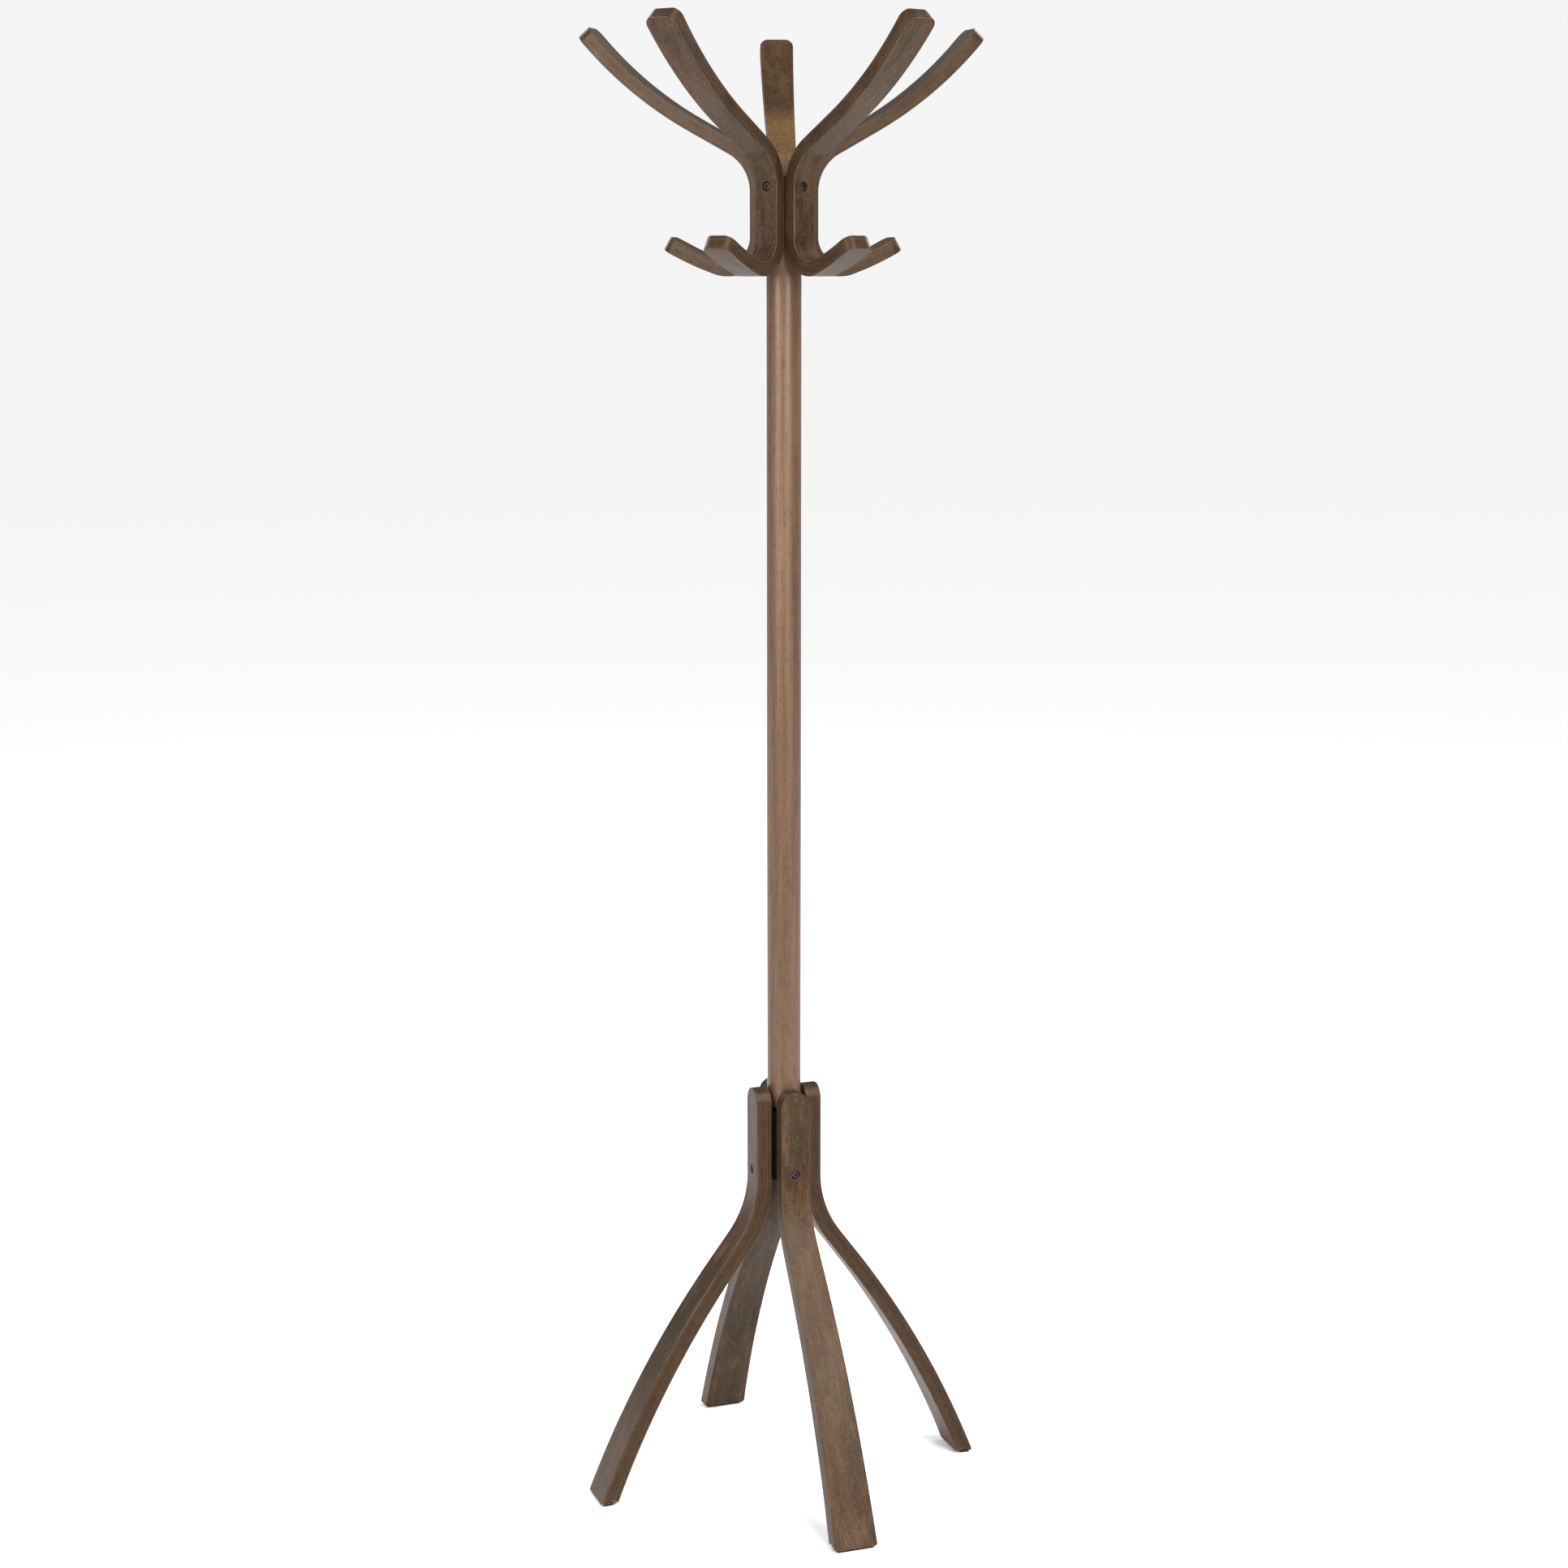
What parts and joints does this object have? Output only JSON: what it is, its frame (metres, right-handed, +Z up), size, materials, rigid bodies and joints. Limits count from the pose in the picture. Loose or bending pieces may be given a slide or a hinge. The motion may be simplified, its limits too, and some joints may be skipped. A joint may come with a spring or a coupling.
{
  "type": "standing coat rack",
  "caption": "Free-standing coat rack: a round wooden pole on bent plywood legs, with bent plywood arms at its head that each form an upper and a lower hook.",
  "frame": {"origin": "on the floor, on the axis of the pole", "axes": "+Z up the pole; the legs point to -Y, +X, +Y and -X, and one arm points to +X"},
  "size_m": [0.4894, 0.4894, 1.754],
  "materials": {
    "walnut_ply": "dark walnut stain under satin lacquer",
    "pole_beech": "walnut stained beech, semi-gloss lacquer",
    "plain_beech": "bare",
    "black_steel": "black oxide, satin",
    "zinc_steel": "zinc plated",
    "black_hub": "matt black paint",
    "black_pad": "matt"
  },
  "bodies": {
    "root": {"pole": "pole_beech", "leg_hub": "black_hub", "pole_insert": "zinc_steel", "hub_stud": "zinc_steel", "hook_arm_1": "walnut_ply", "arm_bolt_1": "black_steel", "arm_insert_1": "zinc_steel", "arm_dowel_1": "plain_beech", "hook_arm_2": "walnut_ply", "arm_bolt_2": "black_steel", "arm_insert_2": "zinc_steel", "arm_dowel_2": "plain_beech", "hook_arm_3": "walnut_ply", "arm_bolt_3": "black_steel", "arm_insert_3": "zinc_steel", "arm_dowel_3": "plain_beech", "hook_arm_4": "walnut_ply", "arm_bolt_4": "black_steel", "arm_insert_4": "zinc_steel", "arm_dowel_4": "plain_beech", "hook_arm_5": "walnut_ply", "arm_bolt_5": "black_steel", "arm_insert_5": "zinc_steel", "arm_dowel_5": "plain_beech", "leg_1": "walnut_ply", "leg_bolt_1": "black_steel", "leg_dowel_1": "plain_beech", "foot_pad_1": "black_pad", "leg_2": "walnut_ply", "leg_bolt_2": "black_steel", "leg_dowel_2": "plain_beech", "foot_pad_2": "black_pad", "leg_3": "walnut_ply", "leg_bolt_3": "black_steel", "leg_dowel_3": "plain_beech", "foot_pad_3": "black_pad", "leg_4": "walnut_ply", "leg_bolt_4": "black_steel", "leg_dowel_4": "plain_beech", "foot_pad_4": "black_pad"}
  },
  "joints": []
}
